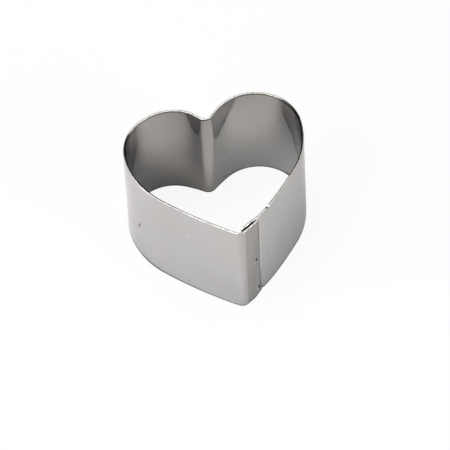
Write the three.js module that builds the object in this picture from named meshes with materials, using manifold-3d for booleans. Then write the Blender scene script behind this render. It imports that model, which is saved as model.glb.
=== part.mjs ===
// Heart-shaped cake ring: one strip of stainless sheet on edge, bent into a heart and closed at the point
// by a lap that two spot welds hold. Millimetres, +Z up, point of the heart towards -Y.
// The origin is under the middle of the ring, on the plane that it stands on.
import * as THREE from "three";
import * as BufferGeometryUtils from "three/addons/utils/BufferGeometryUtils.js";
import Module from "manifold-3d";

// Strip
const SHEET = 0.8;
const WALL_HEIGHT = 50;
const EDGE_BREAK = 0.12;

// Bends of the strip, with radii to the middle of the sheet
const LOBE_RADIUS = 17.64;
const LOBE_SPACING = 33.92;
const FLANK_RADIUS = 55;
const FLANK_ANGLE = (2 * Math.PI) / 3;
const CLEFT_RADIUS = 3.2;
const SHOULDER_RADIUS = 32.3;
const SIDE_RADIUS = 178;
const TIP_RADIUS = 2.6;
const TIP_DROP = 42.2;

// Lap of the strip's last end over the outside of its first end
const LAP_LENGTH = 6;
const LAP_GAP = 0.3;

// Spot welds, placed from the lap's free edge and from the rims
const WELD_DIAMETER = 1.6;
const WELD_DISH_DEPTH = 0.2;
const WELD_FLOOR = 0.25;
const WELD_CLEARANCE = 0.05;
const MIDDLE_WELD_INSET = 2.4;
const MIDDLE_WELD_HEIGHT = 26.4;
const LOWER_WELD_INSET = 1.4;
const LOWER_WELD_HEIGHT = 5.9;

// Fineness of the round faces
const CHORD_ERROR = 0.01;
const WELD_SIDES = 20;
const DISH_STEPS = 4;
const CREASE_ANGLE = Math.PI / 7;

const steel = new THREE.MeshStandardMaterial({ color: 0xb4b1ac, roughness: 0.28, metalness: 1 });
const weldSteel = new THREE.MeshStandardMaterial({ color: 0x8d8a86, roughness: 0.45, metalness: 1 });

const wasm = await Module();
wasm.setup();

function angleFrom(centre, point) {
  return Math.atan2(point.y - centre.y, point.x - centre.x);
}

function mirrored(point) {
  return new THREE.Vector2(-point.x, point.y);
}

// The meeting point of two circles that lies to the left of the way from the first centre to the second
function circleMeeting(first, firstRadius, second, secondRadius) {
  const way = second.clone().sub(first);
  const distance = way.length();
  const along = (distance ** 2 + firstRadius ** 2 - secondRadius ** 2) / (2 * distance);
  const aside = Math.sqrt(firstRadius ** 2 - along ** 2);
  way.normalize();
  const left = new THREE.Vector2(-way.y, way.x);
  return first.clone().addScaledVector(way, along).addScaledVector(left, aside);
}

// Bend centres. Each lobe opens into a wider shoulder at its widest point, and past the flank angle into a
// nearly straight flank that runs down to the tight bend of the cleft. Each side is one long arc that runs
// smoothly into its shoulder and into the point, and the point's own bend is moved outwards on the right,
// where the lap rides over the wall.
const lobeRight = new THREE.Vector2(LOBE_SPACING / 2, 0);
const lobeLeft = mirrored(lobeRight);
const flankWay = new THREE.Vector2(Math.cos(FLANK_ANGLE), Math.sin(FLANK_ANGLE));
const flankRight = lobeRight.clone().addScaledVector(flankWay, LOBE_RADIUS - FLANK_RADIUS);
const flankLeft = mirrored(flankRight);
const cleftRise = Math.sqrt((FLANK_RADIUS + CLEFT_RADIUS) ** 2 - flankRight.x ** 2);
const cleft = new THREE.Vector2(0, flankRight.y + cleftRise);
const shoulderRight = new THREE.Vector2(lobeRight.x + LOBE_RADIUS - SHOULDER_RADIUS, 0);
const shoulderLeft = mirrored(shoulderRight);
const plainTip = new THREE.Vector2(0, -TIP_DROP);
const tipReach = SIDE_RADIUS - TIP_RADIUS;
const sideRight = circleMeeting(plainTip, tipReach, shoulderRight, SIDE_RADIUS - SHOULDER_RADIUS);
const sideLeft = mirrored(sideRight);
const lapRadius = SIDE_RADIUS + SHEET + LAP_GAP;
const tip = circleMeeting(sideLeft, tipReach, sideRight, lapRadius - TIP_RADIUS);

// An arc of the strip from one direction to another, in radians, counterclockwise where the second is larger
function arc(centre, radius, from, to) {
  return { centre, radius, from, to };
}

// A direction given as an angle, turned by whole turns until it comes after another one
function after(angle, start) {
  return angle < start ? angle + 2 * Math.PI : angle;
}

// The strip from its covered end, up the right side, round both lobes, down the left side and over the lap.
// Where two arcs meet, their centres and the meeting point lie on one line, so one direction serves both.
function stripArcs() {
  const lapStart = angleFrom(sideRight, tip);
  const rightTangent = angleFrom(sideRight, shoulderRight);
  const leftTangent = after(angleFrom(sideLeft, shoulderLeft), 0);
  const leftEnd = after(angleFrom(sideLeft, tip), leftTangent);
  return [
    arc(sideRight, SIDE_RADIUS, lapStart, rightTangent),
    arc(shoulderRight, SHOULDER_RADIUS, rightTangent, 0),
    arc(lobeRight, LOBE_RADIUS, 0, FLANK_ANGLE),
    arc(flankRight, FLANK_RADIUS, FLANK_ANGLE, angleFrom(flankRight, cleft)),
    arc(cleft, CLEFT_RADIUS, angleFrom(cleft, flankRight), angleFrom(cleft, flankLeft)),
    arc(flankLeft, FLANK_RADIUS, angleFrom(flankLeft, cleft), Math.PI - FLANK_ANGLE),
    arc(lobeLeft, LOBE_RADIUS, Math.PI - FLANK_ANGLE, Math.PI),
    arc(shoulderLeft, SHOULDER_RADIUS, Math.PI, leftTangent),
    arc(sideLeft, SIDE_RADIUS, leftTangent, leftEnd),
    arc(tip, TIP_RADIUS, leftEnd, after(lapStart, leftEnd)),
    arc(sideRight, lapRadius, lapStart, lapStart + LAP_LENGTH / lapRadius),
  ];
}

// Points along one face of the strip, at a distance outwards from the middle of the sheet
function facePoints(arcs, outwards) {
  const points = [];
  for (const { centre, radius, from, to } of arcs) {
    const faceRadius = radius + outwards * Math.sign(to - from);
    const step = 2 * Math.acos(1 - CHORD_ERROR / (radius + SHEET / 2));
    const count = Math.ceil(Math.abs(to - from) / step);
    for (let i = points.length ? 1 : 0; i <= count; i += 1) {
      const angle = from + ((to - from) * i) / count;
      points.push(new THREE.Vector2(Math.cos(angle), Math.sin(angle)).multiplyScalar(faceRadius).add(centre));
    }
  }
  return points;
}

function stripOutline() {
  const arcs = stripArcs();
  return [...facePoints(arcs, SHEET / 2), ...facePoints(arcs, -SHEET / 2).reverse()];
}

// The strip stands on edge, with the sharp edges of its rims and ends broken
function stripGeometry(outline) {
  const geometry = new THREE.ExtrudeGeometry(new THREE.Shape(outline), {
    depth: WALL_HEIGHT - 2 * EDGE_BREAK,
    bevelThickness: EDGE_BREAK,
    bevelSize: EDGE_BREAK,
    bevelOffset: -EDGE_BREAK,
    bevelSegments: 1,
  });
  return geometry.translate(0, 0, EDGE_BREAK);
}

// A weld's place: its axis, local Y, points out of the lap and starts on the lap's outer face
function weldPlace(inset, height) {
  const angle = angleFrom(sideRight, tip) + (LAP_LENGTH - inset) / lapRadius;
  const face = new THREE.Vector2(Math.cos(angle), Math.sin(angle)).multiplyScalar(lapRadius + SHEET / 2);
  face.add(sideRight);
  const place = new THREE.Matrix4().makeRotationZ(angle - Math.PI / 2);
  return place.setPosition(face.x, face.y, height);
}

// Depth of the weld's pocket: through the lap and the gap, and into the wall behind down to its floor
const pocketDepth = 2 * SHEET + LAP_GAP - WELD_FLOOR;

// The nugget fills its pocket and ends in the shallow dish that the electrode leaves
function weldGeometry() {
  const radius = WELD_DIAMETER / 2;
  const dishRadius = (radius ** 2 + WELD_DISH_DEPTH ** 2) / (2 * WELD_DISH_DEPTH);
  const inner = WELD_CLEARANCE - pocketDepth;
  const profile = [new THREE.Vector2(0, inner), new THREE.Vector2(radius, inner)];
  for (let i = 0; i <= DISH_STEPS; i += 1) {
    const r = radius * (1 - i / DISH_STEPS);
    profile.push(new THREE.Vector2(r, dishRadius - WELD_DISH_DEPTH - Math.sqrt(dishRadius ** 2 - r ** 2)));
  }
  return new THREE.LatheGeometry(profile, WELD_SIDES);
}

// The round cutter for a weld's pocket stands out of the lap by the weld's diameter
function pocketGeometry(place) {
  const radius = WELD_DIAMETER / 2 + WELD_CLEARANCE;
  const length = pocketDepth + WELD_DIAMETER;
  const geometry = new THREE.CylinderGeometry(radius, radius, length, WELD_SIDES);
  return geometry.translate(0, length / 2 - pocketDepth, 0).applyMatrix4(place);
}

function toSolid(geometry) {
  const plain = geometry.clone().deleteAttribute("normal").deleteAttribute("uv");
  const merged = BufferGeometryUtils.mergeVertices(plain);
  return new wasm.Manifold(
    new wasm.Mesh({
      numProp: 3,
      vertProperties: new Float32Array(merged.attributes.position.array),
      triVerts: new Uint32Array(merged.index.array),
    }),
  );
}

function toGeometry(solid) {
  const mesh = solid.getMesh();
  const geometry = new THREE.BufferGeometry();
  geometry.setAttribute("position", new THREE.BufferAttribute(new Float32Array(mesh.vertProperties), 3));
  geometry.setIndex(new THREE.BufferAttribute(new Uint32Array(mesh.triVerts), 1));
  return BufferGeometryUtils.toCreasedNormals(geometry, CREASE_ANGLE);
}

function namedMesh(name, geometry, material) {
  const mesh = new THREE.Mesh(geometry, material);
  mesh.name = name;
  return mesh;
}

const outline = stripOutline();
const welds = [
  { name: "spot_weld_middle", place: weldPlace(MIDDLE_WELD_INSET, MIDDLE_WELD_HEIGHT) },
  { name: "spot_weld_lower", place: weldPlace(LOWER_WELD_INSET, LOWER_WELD_HEIGHT) },
];

let strip = toSolid(stripGeometry(outline));
for (const { place } of welds) {
  strip = strip.subtract(toSolid(pocketGeometry(place)));
}

const ring = new THREE.Group();
ring.add(namedMesh("heart_band", toGeometry(strip), steel));
for (const { name, place } of welds) {
  const weld = namedMesh(name, weldGeometry(), weldSteel);
  weld.applyMatrix4(place);
  ring.add(weld);
}

const planMiddle = new THREE.Box2().setFromPoints(outline).getCenter(new THREE.Vector2());
ring.position.set(-planMiddle.x, -planMiddle.y, 0);

export default ring;
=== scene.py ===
import math
from collections import namedtuple

import bpy
import numpy as np
from mathutils import Matrix, Vector


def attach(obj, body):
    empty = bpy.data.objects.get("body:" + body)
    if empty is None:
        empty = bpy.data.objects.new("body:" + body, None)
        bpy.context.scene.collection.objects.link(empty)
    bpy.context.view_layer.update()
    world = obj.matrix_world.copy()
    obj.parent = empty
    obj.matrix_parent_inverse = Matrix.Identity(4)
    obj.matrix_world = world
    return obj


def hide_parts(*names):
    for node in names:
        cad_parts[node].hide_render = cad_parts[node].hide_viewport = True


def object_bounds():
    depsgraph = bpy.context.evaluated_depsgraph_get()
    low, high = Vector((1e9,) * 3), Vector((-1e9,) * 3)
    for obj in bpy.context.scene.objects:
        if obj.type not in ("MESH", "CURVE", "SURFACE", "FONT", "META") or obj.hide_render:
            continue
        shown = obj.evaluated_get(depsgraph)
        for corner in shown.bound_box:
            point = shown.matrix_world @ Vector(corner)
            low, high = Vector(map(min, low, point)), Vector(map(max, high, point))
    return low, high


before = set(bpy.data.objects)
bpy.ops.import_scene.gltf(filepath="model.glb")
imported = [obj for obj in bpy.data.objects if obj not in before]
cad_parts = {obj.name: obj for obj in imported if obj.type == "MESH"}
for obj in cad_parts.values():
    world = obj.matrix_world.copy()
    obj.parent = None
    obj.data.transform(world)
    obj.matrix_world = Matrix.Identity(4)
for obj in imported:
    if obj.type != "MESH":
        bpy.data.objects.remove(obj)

cad_low, cad_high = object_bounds()
MM = 0.001

# The heart outline, with radii to the middle of the sheet, set forward by the room that the swell needs
SHEET = 0.8 * MM
WALL_HEIGHT = cad_high.z - cad_low.z
LOBE_RADIUS = 17.64 * MM
LOBE_SPACING = 33.92 * MM
FLANK_RADIUS = 55.0 * MM
FLANK_ANGLE = math.radians(120)
CLEFT_RADIUS = 3.2 * MM
SHOULDER_RADIUS = 32.3 * MM
SIDE_RADIUS = 178.0 * MM
TIP_RADIUS = 2.6 * MM
TIP_DROP = 42.2 * MM
LAP_LENGTH = 6.9 * MM
LAP_GAP = 0.3 * MM
SWELL_ROOM = 0.38 * MM
LOBE_LINE = cad_high.y - LOBE_RADIUS - SHEET / 2 - SWELL_ROOM

# Places of some arcs along the strip's path
CLEFT_ARC = 4
LEFT_SIDE_ARC = 8
TIP_ARC = 9
LAP_ARC = 10

# Rounding of the rims and of the strip's two ends, with the ends' columns as shares of their rounding, and
# the offset from mid-sheet up to which a rim shows its cut, painted whiter as a highlight
RIM_ROUND = 0.2 * MM
RIM_STEPS = 3
RIM_FLAT_STEPS = 3
END_ROUND = 0.32 * MM
END_COLUMNS = (0.0, 0.3, 1.0)
CUT_EDGE = SHEET / 2 - RIM_ROUND / 4

# The point's bend is set back along the left side, so the lap and the end under it turn in
TIP_TRIM = 1.6 * MM
TIP_TURN_LENGTH = 11.0 * MM
TIP_REACH = 14.0 * MM
TIP_SOFTNESS = 2.0 * MM

# The nose of the cleft is pressed in, and the flanks swell out beside it
NOSE_HALF = 2.1 * MM
NOSE_PRESS = 0.2 * MM
NOSE_SOFTNESS = 0.2 * MM
SWELL_SOFTNESS = 0.8 * MM
SWELL_FULL = 20.0 * MM
SWELL_END = 25.0 * MM
LEFT_SWELL_SLOPE = 0.24
LEFT_SWELL_PEAK = 7.2 * MM
RIGHT_SWELL_SLOPE = 0.115
RIGHT_SWELL_PEAK = 7.2 * MM

# The seam: sprung open at the top, pressed into a joggle of the wall below, with a slanted free edge
SPRING_OPEN = 0.4 * MM
SPRING_LENGTH = 8.5 * MM
LAP_PRESS = 0.74 * MM
LAP_PRESS_LENGTH = 4.0 * MM
LAP_SLANT = 1.2 * MM
JOGGLE = 0.6 * MM
JOGGLE_START = 6.5 * MM
JOGGLE_END = 8.2 * MM
PRESS_FULL = WALL_HEIGHT * 0.3
PRESS_END = WALL_HEIGHT * 0.9

# Spot welds: a pressed oval dish in the lap, with a slight lip that has a painted highlight on one side
WELD_DISH_RADIUS = 0.95 * MM
WELD_DISH_DEPTH = 0.13 * MM
WELD_TALL = 1.22
WELD_LIP = 0.06 * MM
WELD_LIP_WIDTH = 0.28 * MM
WELD_LIP_HIGHLIGHT = 0.5
WELD_HEAT = 0.9
WELD_HEAT_REACH = 0.9 * MM

# The weld's dull face at the bottom of the dish: a thin lens with an uneven outline
WELD_FACE_RADIUS = 0.75 * MM
WELD_LIFT = 0.012 * MM
WELD_CROWN = 0.035 * MM
WELD_DOME = 0.96
WELD_RINGS = 9
WELD_SIDES = 40
WOBBLE_WIDE = 0.05
WOBBLE_WIDE_COUNT = 3
WOBBLE_FINE = 0.03
WOBBLE_FINE_COUNT = 5
WOBBLE_FINE_START = 1.3

# Darker lap: it starts faintly on the point's bend and is full on the lap; a painted shade makes it
# darkest along the free edge
LAP_DARKENING = 0.6
LAP_FOOT_DARKENING = 0.82
LAP_LEAD_DARKENING = 0.4
LAP_DARKENING_START = 0.3 * MM
LAP_DARKENING_BLEND = 0.35 * MM
LAP_DARKENING_LEAD = 3.2 * MM
# Width of the painted shade along the lap's free edge
FREE_EDGE_SHADE = 1.3 * MM

# Painted shade along the sheared rims, standing for their dark reflections and, outside the lower rim, the
# shadow at the floor. It is heavier on the lobes' outer sides, where the backward part of the outward
# direction lies between these limits
RIM_SHADE = 0.85
RIM_SHADE_WIDTH = 0.85 * MM
RIM_SHADE_FADE_START = 0.6
RIM_SHADE_FADE_END = 1.2
RIM_SHADE_EDGE = SHEET / 8
UNDER_RIM_SHADE = 0.9
RIM_SHADE_FRONT_END = -0.85
RIM_SHADE_FRONT_FULL = -0.5
RIM_SHADE_BACK_FULL = 0.5
RIM_SHADE_BACK_END = 0.8

# Depth at which a knock's painted shade, or its painted highlight where it is raised, is full, and the
# nick in the upper rim of the right side, which is painted with shade
MARK_DEEP = 0.09 * MM
NICK_ALONG = 13.6 * MM
NICK_HALF = 0.5 * MM
NICK_DEPTH = 0.2 * MM
# The nick is painted with shade, darkening it and dimming the rim's cut there
NICK_DARK = 0.7
NICK_REACH = 1.6 * MM
NICK_EDGE = -SHEET / 4

# Mesh spacing
COLUMN_STEP = 0.77 * MM
COLUMN_TURN = math.radians(3.0)
ROW_STEP = 1.5 * MM
FINE_STEP = 0.22 * MM
FINE_REACH = 0.8 * MM
WELD_REACH = 1.4 * MM
COLUMN_LEAST = FINE_STEP * 0.6
ROW_LEAST = FINE_STEP * 0.45
# Rows at shares of the width of the rims' painted shade
RIM_SHADE_ROWS = (0.5, 1.0)
SHEET_CREASE = math.radians(50)
WELD_CREASE = math.radians(60)

# Finish of the metals: colours, lengths of the patterns along and round the strip, and roughness
SHEET_WARM = (0.51, 0.494, 0.48, 1)
SHEET_COOL = (0.52, 0.514, 0.515, 1)
# The next colours darken the sheet in two steps: the darker lap, the temper tint round the welds, and
# painted shade along the rims and the lap's free edge, in the nick and in the knocks
DARKER_STEEL = (0.24, 0.222, 0.195, 1)
DARKER_SHARE = 0.74
SCORCH_AND_SHADE_STEEL = (0.05, 0.048, 0.04, 1)
# Colours of the cut rims, painted whiter than the steel as a highlight
CUT_GREY = (0.55, 0.54, 0.52, 1)
CUT_WHITE_HIGHLIGHT = (0.95, 0.945, 0.93, 1)
WELD_DARK = (0.006, 0.005, 0.005, 1)
WELD_PALE = (0.03, 0.028, 0.026, 1)
TONE_SIZE = (45 * MM, 30 * MM)
SMUDGE_SIZE = (16 * MM, 11 * MM)
GRAIN_SIZE = (9 * MM, 0.10 * MM)
SPECKLE_SIZE = (1.1 * MM, 0.7 * MM)
NOISE_SPAN = (0.3, 0.7)
SMUDGE_SPAN = (0.38, 0.72)
SPECKLE_SPAN = (0.35, 0.55)
NOISE_DETAIL = 2.0
SMUDGE_DETAIL = 4.0
BLOTCH_DETAIL = 3.0
BLOTCHES_PER_METRE = 2200.0
PITS_PER_METRE = 9000.0
SHEET_ROUGHNESS = (0.07, 0.12)
GRAIN_ROUGHNESS = (-0.015, 0.02)
CUT_ROUGHNESS = (0, 0.35)
WELD_ROUGHNESS = (0.32, 0.46)
GRAIN_BUMP = 0.0004 * MM
PIT_BUMP = 0.006 * MM

# Camera, lamps and floor
CAMERA_AZIMUTH = math.radians(-11.783)
CAMERA_ELEVATION = math.radians(56.171)
CAMERA_ROLL = math.radians(-3.05)
CAMERA_DISTANCE = 2340.8 * MM
CAMERA_LENS = 480.0
CAMERA_SENSOR = 36.0
AIM_RIGHT = 3.16 * MM
AIM_UP = -4.802 * MM
LAMP_DISTANCE = 1.5
LAMP_SIZE = 0.45
FLOOR_SIZE = 8.0
FLOOR_DROP = 0.02 * MM
FLOOR_COLOUR = (0.93, 0.93, 0.93, 1)
FLOOR_ROUGHNESS = 0.9
FLOOR_SPECULAR = 0.1
FLOOR_WHITE = (1, 1, 1, 1)
FLOOR_WHITE_SEEN = 0.92
FLOOR_WHITE_MIRRORED = 0.1

# Names of the mesh's layers, and the faces of the strip
UNROLLED = "unrolled"
SCORCH_AND_SHADE_LAYER = "scorch_and_painted_shade"
SHINE_LAYER = "rim"
OUTER = 1
RIM = 0
INNER = -1

Arc = namedtuple("Arc", "centre radius start end")
Wave = namedtuple("Wave", "share along height start")
Weld = namedtuple("Weld", "node inset height")
Mark = namedtuple("Mark", "face along height length width slant depth")
Lamp = namedtuple("Lamp", "name turn rise power colour")

# Slow waves of the bent sheet: share, lengths along and up the strip, and start
WAVE_DEPTH = 0.016 * MM
WAVES = (
    Wave(0.5, 31 * MM, 67 * MM, 1.5),
    Wave(0.5, 31 * MM, -67 * MM, 0.7),
    Wave(0.7, 17 * MM, 53 * MM, 0.0),
    Wave(0.5, -41 * MM, 24 * MM, 2.0),
    Wave(0.22, 9.1 * MM, 13 * MM, 0.7),
)

# Welds: node, distance from the lap's free edge, and height
WELDS = (
    Weld("spot_weld_middle", 2.1 * MM, 24.6 * MM),
    Weld("spot_weld_lower", 1.4 * MM, 4.6 * MM),
)

# Small knocks from handling: face, distance along the strip, height, size, slant, and depth, which is
# negative where the metal is raised
# Dents are painted with shade and raised knocks with a highlight, in proportion to their depth
MARKS = (
    Mark(OUTER, 161.2 * MM, 20.4 * MM, 3.2 * MM, 0.45 * MM, math.radians(70), 0.11 * MM),
    Mark(OUTER, 160.5 * MM, 17.4 * MM, 0.8 * MM, 0.6 * MM, math.radians(70), -0.09 * MM),
    Mark(OUTER, 158.6 * MM, 41.8 * MM, 2.0 * MM, 0.4 * MM, math.radians(63), 0.05 * MM),
    Mark(OUTER, 186.1 * MM, 34.9 * MM, 0.5 * MM, 0.5 * MM, 0.0, -0.045 * MM),
    Mark(OUTER, 185.3 * MM, 3.8 * MM, 0.5 * MM, 0.4 * MM, 0.0, 0.09 * MM),
    Mark(OUTER, 11.9 * MM, 19.5 * MM, 1.0 * MM, 0.4 * MM, math.radians(75), 0.05 * MM),
    Mark(OUTER, 30.4 * MM, 1.8 * MM, 0.5 * MM, 0.4 * MM, 0.0, 0.09 * MM),
    Mark(INNER, 94.1 * MM, 17.4 * MM, 0.6 * MM, 0.5 * MM, 0.0, 0.07 * MM),
    Mark(INNER, 63.6 * MM, 39.6 * MM, 0.6 * MM, 0.5 * MM, 0.0, 0.07 * MM),
)

# Lamps round the ring: angle from +X, rise above the floor, power and colour
LAMPS = (
    Lamp("left_lamp", math.radians(180), math.radians(30), 9.0, (0.94, 0.92, 1.0)),
    Lamp("front_left_lamp", math.radians(225), math.radians(30), 3.2, (0.97, 0.99, 1.0)),
    Lamp("front_right_lamp", math.radians(315), math.radians(30), 6.8, (0.89, 0.93, 1.0)),
    Lamp("high_left_lamp", math.radians(210), math.radians(50), 5.3, (0.98, 1.0, 0.97)),
    Lamp("back_left_lamp", math.radians(150), math.radians(65), 2.75, (1.0, 0.93, 0.91)),
    Lamp("back_right_lamp", math.radians(30), math.radians(65), 3.15, (1.0, 0.98, 0.98)),
    Lamp("top_left_lamp", math.radians(120), math.radians(77), 3.8, (1.0, 0.98, 0.9)),
    Lamp("top_right_lamp", math.radians(60), math.radians(77), 2.1, (1.0, 0.92, 0.89)),
)


def meeting(first, first_radius, second, second_radius):
    """Where two circles meet, on the left of the way from the first centre to the second."""
    way = second - first
    along = (way.length_squared + first_radius**2 - second_radius**2) / (2 * way.length)
    aside = math.sqrt(first_radius**2 - along**2)
    way = way.normalized()
    return first + way * along + Vector((-way.y, way.x)) * aside


def angle_from(centre, point):
    return math.atan2(point.y - centre.y, point.x - centre.x)


def after(angle, start):
    return angle + 2 * math.pi if angle < start else angle


def heart_arcs():
    """The strip's path, counter-clockwise from its covered end to the free edge of the lap."""
    lobe_right = Vector((LOBE_SPACING / 2, LOBE_LINE))
    lobe_left = Vector((-LOBE_SPACING / 2, LOBE_LINE))
    flank_way = Vector((math.cos(FLANK_ANGLE), math.sin(FLANK_ANGLE)))
    flank_right = lobe_right + flank_way * (LOBE_RADIUS - FLANK_RADIUS)
    flank_left = Vector((-flank_right.x, flank_right.y))
    cleft_rise = math.sqrt((FLANK_RADIUS + CLEFT_RADIUS) ** 2 - flank_right.x**2)
    cleft = Vector((0, flank_right.y + cleft_rise))
    shoulder_right = Vector((lobe_right.x + LOBE_RADIUS - SHOULDER_RADIUS, LOBE_LINE))
    shoulder_left = Vector((-shoulder_right.x, LOBE_LINE))
    plain_tip = Vector((0, LOBE_LINE - TIP_DROP))
    tip_reach = SIDE_RADIUS - TIP_RADIUS
    side_right = meeting(plain_tip, tip_reach, shoulder_right, SIDE_RADIUS - SHOULDER_RADIUS)
    side_left = Vector((-side_right.x, side_right.y))
    lap_radius = SIDE_RADIUS + SHEET + LAP_GAP
    tip = meeting(side_left, tip_reach, side_right, lap_radius - TIP_RADIUS)
    lap_start = angle_from(side_right, tip)
    right_tangent = angle_from(side_right, shoulder_right)
    left_tangent = after(angle_from(side_left, shoulder_left), 0)
    left_end = after(angle_from(side_left, tip), left_tangent)
    lap_end = lap_start + LAP_LENGTH / lap_radius
    return (
        Arc(side_right, SIDE_RADIUS, lap_start, right_tangent),
        Arc(shoulder_right, SHOULDER_RADIUS, right_tangent, 0.0),
        Arc(lobe_right, LOBE_RADIUS, 0.0, FLANK_ANGLE),
        Arc(flank_right, FLANK_RADIUS, FLANK_ANGLE, angle_from(flank_right, cleft)),
        Arc(cleft, CLEFT_RADIUS, angle_from(cleft, flank_right), angle_from(cleft, flank_left)),
        Arc(flank_left, FLANK_RADIUS, angle_from(flank_left, cleft), math.pi - FLANK_ANGLE),
        Arc(lobe_left, LOBE_RADIUS, math.pi - FLANK_ANGLE, math.pi),
        Arc(shoulder_left, SHOULDER_RADIUS, math.pi, left_tangent),
        Arc(side_left, SIDE_RADIUS, left_tangent, left_end),
        Arc(tip, TIP_RADIUS, left_end, after(lap_start, left_end)),
        Arc(side_right, lap_radius, lap_start, lap_end),
    )


ARCS = heart_arcs()
ARC_LENGTHS = np.array([abs(arc.end - arc.start) * arc.radius for arc in ARCS])
ARC_STARTS = np.concatenate([[0.0], np.cumsum(ARC_LENGTHS)])
CLEFT_MIDDLE = (ARC_STARTS[CLEFT_ARC] + ARC_STARTS[CLEFT_ARC + 1]) / 2
LAP_START = ARC_STARTS[LAP_ARC]
STRIP_LENGTH = ARC_STARTS[-1]
LEFT_SIDE_END = ARCS[LEFT_SIDE_ARC].end
TIP_WAY = np.array([math.sin(LEFT_SIDE_END), -math.cos(LEFT_SIDE_END)])


def eased(value, low, high):
    """Smooth rise from 0 at the low value to 1 at the high one."""
    share = np.clip((value - low) / (high - low), 0, 1)
    return share * share * (3 - 2 * share)


def ramp(value, corner, softness):
    """Zero up to a softened corner, and rising evenly after it."""
    return softness * np.logaddexp(0, (value - corner) / softness)


def bell(distance, reach):
    return np.exp(-((distance / reach) ** 2))


def tip_shift(distances):
    """How far the bend at the point, the lap and the covered end are turned in along the left side."""
    bend = ARC_LENGTHS[TIP_ARC]
    past = np.where(distances > STRIP_LENGTH / 2, distances - LAP_START, distances)
    turned = ramp(TIP_TURN_LENGTH - past, 0, TIP_SOFTNESS) / TIP_TURN_LENGTH
    inside = np.clip(1 + past / bend, 0, 1)
    bent = 1 + bend / TIP_TURN_LENGTH * (1 - inside**2) / 2
    return TIP_TRIM * np.where(past < 0, bent, turned) * eased(past, -TIP_REACH, -bend)


def along_path(distances):
    """Plan position and outward direction at distances along the strip."""
    which = np.clip(np.searchsorted(ARC_STARTS, distances, side="right") - 1, 0, len(ARCS) - 1)
    centres = np.array([arc.centre for arc in ARCS])[which]
    radii = np.array([arc.radius for arc in ARCS])[which]
    starts = np.array([arc.start for arc in ARCS])[which]
    turns = np.array([math.copysign(1, arc.end - arc.start) for arc in ARCS])[which]
    angles = starts + turns * (distances - ARC_STARTS[which]) / radii
    rays = np.stack([np.cos(angles), np.sin(angles)], axis=1)
    plan = centres + rays * radii[:, None] + tip_shift(distances)[:, None] * TIP_WAY
    return plan, rays * turns[:, None]


def thinned(values, least):
    """Sorted values without those that lie too close after another, with both ends kept."""
    values = np.sort(values)
    kept = [values[0]]
    for value in values[1:-1]:
        if value - kept[-1] > least and values[-1] - value > least:
            kept.append(value)
    return np.array(kept + [values[-1]])


def near_spots(spots, reach):
    offsets = np.arange(-reach, reach + FINE_STEP / 2, FINE_STEP)
    return [spot + offsets for spot in spots]


def weld_along(weld):
    return STRIP_LENGTH - weld.inset


def columns():
    """Distances along the strip: finer in tight bends, at the welds and marks and at both ends."""
    runs = []
    for arc, start, length in zip(ARCS, ARC_STARTS, ARC_LENGTHS):
        steps = math.ceil(max(length / COLUMN_STEP, abs(arc.end - arc.start) / COLUMN_TURN))
        runs.append(start + np.linspace(0, length, steps + 1))
    runs += near_spots([weld_along(weld) for weld in WELDS], WELD_REACH)
    runs += near_spots([mark.along for mark in MARKS] + [NICK_ALONG], FINE_REACH)
    inside = np.concatenate(runs)
    inside = inside[(inside >= END_ROUND) & (inside <= STRIP_LENGTH - END_ROUND)]
    ends = np.array(END_COLUMNS) * END_ROUND
    main = thinned(np.concatenate([[END_ROUND, STRIP_LENGTH - END_ROUND], inside]), COLUMN_LEAST)
    return np.concatenate([ends[:-1], main, STRIP_LENGTH - ends[-2::-1]])


def rows():
    """Heights on the flat of the wall, between the two rounded rims."""
    low = RIM_ROUND
    high = WALL_HEIGHT - RIM_ROUND
    plain = np.linspace(low, high, math.ceil((high - low) / ROW_STEP) + 1)
    fine = near_spots([weld.height for weld in WELDS], WELD_REACH)
    fine += near_spots([mark.height for mark in MARKS], FINE_REACH)
    burr = np.array(RIM_SHADE_ROWS) * RIM_SHADE_WIDTH
    every = np.concatenate([plain, low + burr, high - burr] + fine)
    return thinned(every[(every >= low) & (every <= high)], ROW_LEAST)


def rim_section():
    """Offset from mid-sheet and rise above the flat of the wall, from the outer face to the inner."""
    flat = SHEET / 2 - RIM_ROUND
    quarter = np.arange(1, RIM_STEPS + 1) / RIM_STEPS * math.pi / 2
    outer = np.stack([flat + RIM_ROUND * np.cos(quarter), RIM_ROUND * np.sin(quarter)], axis=1)
    across = np.linspace(flat, -flat, RIM_FLAT_STEPS + 1)[1:-1]
    middle = np.stack([across, np.full_like(across, RIM_ROUND)], axis=1)
    inner = outer[::-1] * (-1, 1)
    return np.concatenate([outer, middle, inner])


def strip_section():
    """Closed loop round the upright strip: offset, height and face of each point."""
    heights = rows()
    rim = rim_section()
    top = rim + (0, heights[-1])
    bottom = rim[::-1] * (1, -1) + (0, heights[0])
    outer = np.stack([np.full_like(heights, SHEET / 2), heights], axis=1)
    inner = outer[::-1] * (-1, 1)
    loop = np.concatenate([outer, top, inner, bottom])
    face = np.repeat((OUTER, RIM, INNER, RIM), (len(outer), len(top), len(inner), len(bottom)))
    return loop, face, len(heights), len(rim)


def flank_swell(aside, height, slope, peak):
    """The nose of the cleft pressed in, and a flank swelling out beside it, less towards the bottom."""
    rise = slope * (ramp(aside, NOSE_HALF, NOSE_SOFTNESS) - ramp(aside, peak, SWELL_SOFTNESS))
    upper = eased(height, 0, SWELL_FULL)
    return (rise - NOSE_PRESS) * upper * (1 - eased(aside, peak, SWELL_END))


def cleft_swell(along, height):
    aside = along - CLEFT_MIDDLE
    left = flank_swell(aside, height, LEFT_SWELL_SLOPE, LEFT_SWELL_PEAK)
    right = flank_swell(-aside, height, RIGHT_SWELL_SLOPE, RIGHT_SWELL_PEAK)
    return np.where(aside > 0, left, right)


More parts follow.
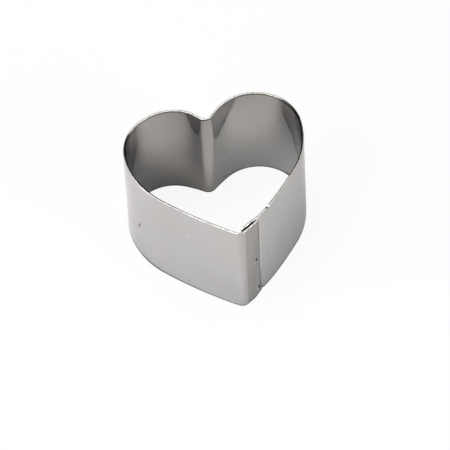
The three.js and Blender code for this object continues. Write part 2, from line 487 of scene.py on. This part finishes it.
def slow_waves(along, height):
    """Slow waves of the bent sheet, set inwards by their depth."""
    waves = -1
    for wave in WAVES:
        turns = along / wave.along + height / wave.height
        waves = waves + wave.share * np.sin(2 * math.pi * turns + wave.start)
    return WAVE_DEPTH * waves


def seam_bend(along, height):
    """How far the covered end springs inwards at the top, and both sheets are pressed inwards below."""
    covered = 1 - eased(along, SPRING_LENGTH / 2, SPRING_LENGTH)
    spring = SPRING_OPEN * covered * (height / WALL_HEIGHT) ** 2
    low = 1 - eased(height, PRESS_FULL, PRESS_END)
    covered_along = along - LAP_SLANT * (1 - height / WALL_HEIGHT)
    joggle = JOGGLE * low * (1 - eased(covered_along, JOGGLE_START, JOGGLE_END))
    press = LAP_PRESS * low * eased(along, STRIP_LENGTH - LAP_PRESS_LENGTH, STRIP_LENGTH)
    return spring + joggle + press


def unevenness(along, height):
    """How far the sheet stands out from its path."""
    return slow_waves(along, height) - seam_bend(along, height) + cleft_swell(along, height)


def slanted(outward, along, height):
    """Shift in plan, along the strip, that sets the lap's free edge at a slight slant."""
    share = eased(along, STRIP_LENGTH - LAP_PRESS_LENGTH, STRIP_LENGTH)
    onwards = np.stack([-outward[..., 1], outward[..., 0]], axis=-1)
    return onwards * (LAP_SLANT * share * (1 - height / WALL_HEIGHT))[..., None]


def weld_distance(weld, along, height):
    """Distance from a weld's middle, as if its upright oval were a circle."""
    return np.hypot((along - weld_along(weld)) * WELD_TALL, (height - weld.height) / WELD_TALL)


def dish(distance):
    """Depth of a weld's pressed dish, with the slight lip that it pushes up."""
    inside = np.clip(distance / WELD_DISH_RADIUS, 0, 1)
    bowl = WELD_DISH_DEPTH * (1 + np.cos(math.pi * inside)) / 2
    return bowl - WELD_LIP * bell(distance - WELD_DISH_RADIUS, WELD_LIP_WIDTH)


def lip_highlight(weld, along, height, face):
    """Share of painted highlight on a weld's lip, on its half towards the point of the heart."""
    lip = bell(weld_distance(weld, along, height) - WELD_DISH_RADIUS, WELD_LIP_WIDTH) * (face == OUTER)
    return lip * eased(weld_along(weld) - along, 0, WELD_FACE_RADIUS)


def mark_share(mark, along, height, face):
    across = along - mark.along
    rise = height - mark.height
    lengthwise = across * math.cos(mark.slant) + rise * math.sin(mark.slant)
    sideways = rise * math.cos(mark.slant) - across * math.sin(mark.slant)
    return bell(lengthwise, mark.length) * bell(sideways, mark.width) * (face == mark.face)


def nick_share(along, height):
    top = eased(height, WALL_HEIGHT - NICK_REACH, WALL_HEIGHT - RIM_ROUND)
    return top * bell(along - NICK_ALONG, NICK_HALF)


def lap_darkening(along, height):
    """Share of darkening on the outside of the lap, least at its foot, with painted shade added most along
    its free edge.
    """
    start = LAP_START - LAP_DARKENING_START
    lead = LAP_LEAD_DARKENING * eased(along, start - LAP_DARKENING_LEAD, start)
    lap = LAP_DARKENING * np.maximum(lead, eased(along, start, start + LAP_DARKENING_BLEND))
    lap = lap * (LAP_FOOT_DARKENING + (1 - LAP_FOOT_DARKENING) * eased(height, 0, WALL_HEIGHT / 2))
    return np.maximum(lap, bell(STRIP_LENGTH - along, FREE_EDGE_SHADE))


def lobe_side(backward):
    """Share of the heavier painted shade on the rims, from the backward part of the outward direction."""
    front = eased(backward, RIM_SHADE_FRONT_END, RIM_SHADE_FRONT_FULL)
    return front * (1 - eased(backward, RIM_SHADE_BACK_FULL, RIM_SHADE_BACK_END))


def rim_shade(side, offset, height):
    """Share of painted shade along the rims: inside both and, fainter, outside the lower one."""
    depth = np.minimum(height, WALL_HEIGHT - height)
    width = RIM_SHADE_WIDTH * (1 + side)
    fade = 1 - eased(depth, width * RIM_SHADE_FADE_START, width * RIM_SHADE_FADE_END)
    band = (RIM_SHADE + (1 - RIM_SHADE) * side) * fade
    return band * np.where(offset < RIM_SHADE_EDGE, 1.0, UNDER_RIM_SHADE * (height < WALL_HEIGHT / 2))


def scorch_and_painted_shade(side, along, offset, height, face):
    """Share of darkened metal: the darker lap, temper tint round the welds, and painted shade along the
    rims and the lap's free edge, in the nick and in the knocks.
    """
    outside = offset > 0
    darkening = np.maximum(lap_darkening(along, height) * outside, rim_shade(side, offset, height))
    darkening = np.maximum(darkening, NICK_DARK * nick_share(along, height) * (offset > NICK_EDGE))
    for weld in WELDS:
        near = bell(weld_distance(weld, along, height), WELD_HEAT_REACH)
        darkening = np.maximum(darkening, WELD_HEAT * near * outside)
        darkening = darkening * (1 - lip_highlight(weld, along, height, face))
    for mark in MARKS:
        dark = min(mark.depth / MARK_DEEP, 1)
        darkening = np.maximum(darkening, dark * mark_share(mark, along, height, face))
    return darkening


def shine(side, along, offset, height, face):
    """Share of bright metal: the cut rims, rougher and painted whiter as a highlight, dimmed on their
    inner half along the lobes' outer sides, and painted highlights on the welds' lips and the raised
    knocks.
    """
    cut = (face == RIM) * (np.abs(offset) < CUT_EDGE)
    bright = cut * (1 - side * (offset < RIM_SHADE_EDGE)) * (1 - NICK_DARK * nick_share(along, height))
    for weld in WELDS:
        bright = np.maximum(bright, WELD_LIP_HIGHLIGHT * lip_highlight(weld, along, height, face))
    for mark in MARKS:
        raised = min(-mark.depth / MARK_DEEP, 1)
        bright = np.maximum(bright, raised * mark_share(mark, along, height, face))
    return bright


def relief(along, height, face):
    """How far the weld dishes and knocks move the strip's faces outwards."""
    moved = 0
    for weld in WELDS:
        moved = moved - dish(weld_distance(weld, along, height)) * (face == OUTER)
    for mark in MARKS:
        moved = moved - mark.face * mark.depth * mark_share(mark, along, height, face)
    return moved


def end_tuck(distances):
    """How far the surface draws in where the strip's two ends are rounded."""
    depth = END_ROUND - np.clip(np.minimum(distances, STRIP_LENGTH - distances), 0, END_ROUND)
    return END_ROUND - np.sqrt(END_ROUND**2 - depth**2)


def set_out(plan, outward, along, height, out, up):
    """Points at distances out from the strip's path, with the lap's free edge slanted."""
    points = np.empty(out.shape + (3,))
    points[..., :2] = plan + outward * out[..., None] + slanted(outward, along, height)
    points[..., 2] = up
    return points


def strip_points(distances, loop, face):
    """The strip's points, one row for each column, with their shares of scorch and shine."""
    plan, outward = along_path(distances)
    along = distances[:, None]
    offset = loop[None, :, 0]
    height = loop[None, :, 1]
    tuck = end_tuck(along)
    middle = WALL_HEIGHT / 2
    out = offset * (1 - tuck / (SHEET / 2)) + unevenness(along, height) + relief(along, height, face)
    up = middle + (height - middle) * (1 - tuck / middle) - NICK_DEPTH * nick_share(along, height)
    points = set_out(plan[:, None, :], outward[:, None, :], along, height, out, up)
    where = (lobe_side(outward[:, 1])[:, None], along, offset, height, face)
    return points, scorch_and_painted_shade(*where), shine(*where)


def strip_faces(count, loop_length):
    """Quads round the strip, as indices into columns of loop points."""
    first = np.arange(count - 1)[:, None] * loop_length
    here = np.arange(loop_length)[None, :]
    there = (here + 1) % loop_length
    second = first + loop_length
    quads = np.stack([first + here, second + here, second + there, first + there], axis=-1)
    return quads.reshape(-1, 4).tolist()


def end_faces(column, row_count, rim_count, loop_length, forwards):
    """Faces that close one end of the strip, looking along it or back."""
    base = column * loop_length
    inner_top = row_count + rim_count
    faces = []
    for row in range(row_count - 1):
        opposite = inner_top + row_count - 1 - row
        faces.append([row, opposite, opposite - 1, row + 1])
    faces.append([row_count - 1] + list(range(inner_top, row_count - 1, -1)))
    lower = inner_top + row_count - 1
    faces.append([0] + list(range(loop_length - 1, lower - 1, -1)))
    ordered = faces if forwards else [face[::-1] for face in faces]
    return [[base + index for index in face] for face in ordered]


def unroll(mesh, distances, loop):
    """A map of the strip laid flat, in metres: along it, and round its section."""
    steps = np.linalg.norm(np.diff(loop, axis=0, append=loop[:1]), axis=1)
    round_section = np.concatenate([[0.0], np.cumsum(steps)])
    loop_length = len(loop)
    layer = mesh.uv_layers.new(name=UNROLLED)
    flat = np.empty((len(mesh.loops), 2))
    vertex = np.empty(len(mesh.loops), dtype=np.int64)
    mesh.loops.foreach_get("vertex_index", vertex)
    flat[:, 0] = distances[vertex // loop_length]
    place = vertex % loop_length
    flat[:, 1] = round_section[place]
    quads = (len(distances) - 1) * loop_length
    closing = np.arange(quads) % loop_length == loop_length - 1
    corners = np.zeros(len(mesh.loops), dtype=bool)
    corners[: quads * 4] = np.repeat(closing, 4)
    wrapped = corners & (place == 0)
    flat[wrapped, 1] = round_section[-1]
    layer.data.foreach_set("uv", flat.ravel())


def point_values(mesh, name, values):
    layer = mesh.attributes.new(name, "FLOAT", "POINT")
    layer.data.foreach_set("value", np.ascontiguousarray(values, dtype=np.float32).ravel())


def new_object(name, data):
    made = bpy.data.objects.new(name, data)
    bpy.context.scene.collection.objects.link(made)
    return made


def heart_band():
    distances = columns()
    loop, face, row_count, rim_count = strip_section()
    points, dark, bright = strip_points(distances, loop, face)
    count = len(distances)
    faces = strip_faces(count, len(loop))
    faces += end_faces(0, row_count, rim_count, len(loop), False)
    faces += end_faces(count - 1, row_count, rim_count, len(loop), True)
    mesh = bpy.data.meshes.new("heart_band_sheet")
    mesh.from_pydata(points.reshape(-1, 3).tolist(), [], faces)
    unroll(mesh, distances, loop)
    point_values(mesh, SHINE_LAYER, bright)
    point_values(mesh, SCORCH_AND_SHADE_LAYER, dark)
    mesh.shade_smooth()
    mesh.set_sharp_from_angle(angle=SHEET_CREASE)
    mesh.materials.append(stainless_sheet())
    return new_object("heart_band_sheet", mesh)


def lens_points(start):
    """A thin uneven lens, from its crown to its flat back: distances along the strip, up it and out."""
    share = np.linspace(0, 1, WELD_RINGS + 1)[1:]
    radius = WELD_FACE_RADIUS * np.concatenate([share, share[::-1]])
    dome = WELD_CROWN * np.sqrt(1 - (share * WELD_DOME) ** 2)
    thickness = np.concatenate([dome, np.zeros(WELD_RINGS)])
    turn = np.arange(WELD_SIDES) / WELD_SIDES * 2 * math.pi
    wide = WOBBLE_WIDE * np.sin(WOBBLE_WIDE_COUNT * turn + start)
    fine = WOBBLE_FINE * np.sin(WOBBLE_FINE_COUNT * turn + WOBBLE_FINE_START)
    reach = radius[:, None] * (1 + wide + fine)
    across = np.concatenate([[0.0], (reach * np.cos(turn)).ravel(), [0.0]]) / WELD_TALL
    rise = np.concatenate([[0.0], (reach * np.sin(turn)).ravel(), [0.0]]) * WELD_TALL
    over = np.concatenate([[WELD_CROWN], np.repeat(thickness, WELD_SIDES), [0.0]])
    return across, rise, over


def lens_faces():
    """A fan round the lens's crown, rings of quads, and a fan round the middle of its back."""
    ring_count = 2 * WELD_RINGS
    back = 1 + ring_count * WELD_SIDES
    last = back - WELD_SIDES
    faces = []
    for side in range(WELD_SIDES):
        following = (side + 1) % WELD_SIDES
        faces.append([0, 1 + side, 1 + following])
        for ring in range(ring_count - 1):
            here = 1 + ring * WELD_SIDES
            there = here + WELD_SIDES
            faces.append([here + side, there + side, there + following, here + following])
        faces.append([last + side, back, last + following])
    return faces


def weld_face(weld):
    """The dull face of one weld, a thin lens that lies in the bottom of its dish."""
    across, rise, over = lens_points(weld_along(weld) / MM)
    along = weld_along(weld) + across
    height = weld.height + rise
    plan, outward = along_path(along)
    bottom = SHEET / 2 + unevenness(along, height) - dish(weld_distance(weld, along, height))
    points = set_out(plan, outward, along, height, bottom + WELD_LIFT + over, height)
    mesh = bpy.data.meshes.new(weld.node + "_face")
    mesh.from_pydata(points.tolist(), [], lens_faces())
    mesh.shade_smooth()
    mesh.set_sharp_from_angle(angle=WELD_CREASE)
    mesh.materials.append(weld_steel())
    return new_object(weld.node + "_face", mesh)


def add_node(tree, kind, values=None, **settings):
    """A shader node whose inputs are numbers, colours or other nodes' outputs."""
    made = tree.nodes.new(kind)
    for name, value in settings.items():
        setattr(made, name, value)
    for socket, value in (values or {}).items():
        if isinstance(value, bpy.types.NodeSocket):
            tree.links.new(value, made.inputs[socket])
        else:
            made.inputs[socket].default_value = value
    return made


def new_material(name):
    material = bpy.data.materials.new(name)
    material.use_nodes = True
    tree = material.node_tree
    tree.nodes.clear()
    return material, tree


def noise(tree, place, scale, detail):
    values = {"Vector": place, "Scale": scale, "Detail": detail}
    return add_node(tree, "ShaderNodeTexNoise", values).outputs["Fac"]


def strip_noise(tree, size, detail=NOISE_DETAIL):
    """Noise on the unrolled strip, with features of about these lengths along it and round it."""
    flat = add_node(tree, "ShaderNodeUVMap", uv_map=UNROLLED)
    along, round_section = size
    values = {"Vector": flat.outputs["UV"], "Scale": (1 / along, 1 / round_section, 1)}
    placed = add_node(tree, "ShaderNodeMapping", values)
    return noise(tree, placed.outputs["Vector"], 1.0, detail)


def ranged(tree, value, span, result=(0, 1)):
    """A value's place within a span, as the same place within the span of results."""
    values = {"Value": value, "From Min": span[0], "From Max": span[1]}
    values.update({"To Min": result[0], "To Max": result[1]})
    return add_node(tree, "ShaderNodeMapRange", values).outputs["Result"]


def mixed(tree, share, first, second):
    """A colour mix. The node has sockets of every type, so its colour ones are found by number."""
    return add_node(tree, "ShaderNodeMix", {0: share, 6: first, 7: second}, data_type="RGBA").outputs[2]


def summed(tree, first, second, operation="ADD"):
    return add_node(tree, "ShaderNodeMath", {0: first, 1: second}, operation=operation).outputs["Value"]


def painted(tree, name):
    return add_node(tree, "ShaderNodeAttribute", attribute_name=name).outputs["Fac"]


def finish_material(tree, colour, roughness, height, bump_depth):
    bump = add_node(tree, "ShaderNodeBump", {"Height": height, "Strength": 1.0, "Distance": bump_depth})
    values = {"Base Color": colour, "Metallic": 1.0, "Roughness": roughness}
    values["Normal"] = bump.outputs["Normal"]
    shader = add_node(tree, "ShaderNodeBsdfPrincipled", values)
    add_node(tree, "ShaderNodeOutputMaterial", {"Surface": shader.outputs["BSDF"]})


def sheet_colour(tree):
    """Plain sheet with a slow change of tone, darker on the lap, and almost black in the welds' temper
    tint and the painted shade.
    """
    darkening = painted(tree, SCORCH_AND_SHADE_LAYER)
    tone = ranged(tree, strip_noise(tree, TONE_SIZE), NOISE_SPAN)
    plain = mixed(tree, tone, SHEET_WARM, SHEET_COOL)
    dulled = mixed(tree, ranged(tree, darkening, (0, LAP_DARKENING), (0, DARKER_SHARE)), plain, DARKER_STEEL)
    return mixed(tree, ranged(tree, darkening, (LAP_DARKENING, 1)), dulled, SCORCH_AND_SHADE_STEEL)


def stainless_sheet():
    """Bright rolled sheet: fine rolling grain along the strip, faint smudges, and cut rims painted
    brighter as a highlight.
    """
    material, tree = new_material("stainless_sheet")
    shine_share = painted(tree, SHINE_LAYER)
    grain = strip_noise(tree, GRAIN_SIZE)
    smudge = strip_noise(tree, SMUDGE_SIZE, SMUDGE_DETAIL)
    speckle = ranged(tree, strip_noise(tree, SPECKLE_SIZE), SPECKLE_SPAN)
    cut = mixed(tree, speckle, CUT_GREY, CUT_WHITE_HIGHLIGHT)
    colour = mixed(tree, shine_share, sheet_colour(tree), cut)
    clean = ranged(tree, smudge, SMUDGE_SPAN, SHEET_ROUGHNESS)
    grained = summed(tree, clean, ranged(tree, grain, NOISE_SPAN, GRAIN_ROUGHNESS))
    roughness = summed(tree, grained, ranged(tree, shine_share, (0, 1), CUT_ROUGHNESS))
    finish_material(tree, colour, roughness, grain, GRAIN_BUMP)
    return material


def weld_steel():
    """Dull, oxidised face that the electrode left."""
    material, tree = new_material("weld_steel")
    place = add_node(tree, "ShaderNodeTexCoord").outputs["Object"]
    blotches = noise(tree, place, BLOTCHES_PER_METRE, BLOTCH_DETAIL)
    pits = noise(tree, place, PITS_PER_METRE, NOISE_DETAIL)
    colour = mixed(tree, ranged(tree, blotches, NOISE_SPAN), WELD_DARK, WELD_PALE)
    roughness = ranged(tree, blotches, NOISE_SPAN, WELD_ROUGHNESS)
    finish_material(tree, colour, roughness, pits, PIT_BUMP)
    return material


def camera_axes():
    """The camera's right, up and backward directions."""
    level = Vector((math.cos(CAMERA_AZIMUTH), math.sin(CAMERA_AZIMUTH), 0))
    nearer = Vector((math.sin(CAMERA_AZIMUTH), -math.cos(CAMERA_AZIMUTH), 0))
    back = nearer * math.cos(CAMERA_ELEVATION) + Vector((0, 0, math.sin(CAMERA_ELEVATION)))
    upright = back.cross(level)
    right = level * math.cos(CAMERA_ROLL) + upright * math.sin(CAMERA_ROLL)
    up = upright * math.cos(CAMERA_ROLL) - level * math.sin(CAMERA_ROLL)
    return right, up, back


def place_camera():
    right, up, back = camera_axes()
    data = bpy.data.cameras.new("photo_camera")
    data.lens = CAMERA_LENS
    data.sensor_width = CAMERA_SENSOR
    camera = new_object("photo_camera", data)
    aim = Vector((0, LOBE_LINE, 0)) + right * AIM_RIGHT + up * AIM_UP
    turned = Matrix((right, up, back)).transposed().to_4x4()
    camera.matrix_world = Matrix.Translation(aim + back * CAMERA_DISTANCE) @ turned
    bpy.context.scene.camera = camera


def softbox(lamp):
    """A round lamp aimed at the origin, from an angle from +X and a rise above the floor."""
    level = Vector((math.cos(lamp.turn), math.sin(lamp.turn), 0))
    way = level * math.cos(lamp.rise) + Vector((0, 0, math.sin(lamp.rise)))
    data = bpy.data.lights.new(lamp.name, "AREA")
    data.shape = "DISK"
    data.size = LAMP_SIZE
    data.energy = lamp.power
    data.color = lamp.colour
    made = new_object(lamp.name, data)
    made.location = way * LAMP_DISTANCE
    made.rotation_euler = (-way).to_track_quat("-Z", "Y").to_euler()


def light_studio():
    for lamp in LAMPS:
        softbox(lamp)
    world = bpy.data.worlds.new("studio")
    bpy.context.scene.world = world
    world.use_nodes = True
    world.node_tree.nodes["Background"].inputs["Strength"].default_value = 0.0


def floor_white():
    """Matte white that the camera sees as almost even, and the steel's reflections mostly as it is lit."""
    material, tree = new_material("studio_floor")
    values = {"Base Color": FLOOR_COLOUR, "Roughness": FLOOR_ROUGHNESS}
    values["Specular IOR Level"] = FLOOR_SPECULAR
    matte = add_node(tree, "ShaderNodeBsdfPrincipled", values)
    white = add_node(tree, "ShaderNodeEmission", {"Color": FLOOR_WHITE, "Strength": 1.0})
    path = add_node(tree, "ShaderNodeLightPath").outputs
    mirrored = summed(tree, path["Is Glossy Ray"], path["Is Transmission Ray"], "MAXIMUM")
    seen_share = summed(tree, path["Is Camera Ray"], FLOOR_WHITE_SEEN, "MULTIPLY")
    mirrored_share = summed(tree, mirrored, FLOOR_WHITE_MIRRORED, "MULTIPLY")
    share = summed(tree, seen_share, mirrored_share, "MAXIMUM")
    values = {0: share, 1: matte.outputs["BSDF"], 2: white.outputs["Emission"]}
    surface = add_node(tree, "ShaderNodeMixShader", values).outputs["Shader"]
    add_node(tree, "ShaderNodeOutputMaterial", {"Surface": surface})
    return material


def lay_floor():
    half = FLOOR_SIZE / 2
    level = -FLOOR_DROP
    corners = [(-half, -half, level), (half, -half, level), (half, half, level), (-half, half, level)]
    mesh = bpy.data.meshes.new("studio_floor")
    mesh.from_pydata(corners, [], [(0, 1, 2, 3)])
    mesh.materials.append(floor_white())
    new_object("studio_floor", mesh)


bpy.context.scene.view_settings.view_transform = "Standard"
place_camera()
light_studio()
lay_floor()

band = heart_band()
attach(band, "root")
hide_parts("heart_band")

for weld in WELDS:
    face = weld_face(weld)
    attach(face, "root")
    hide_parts(weld.node)
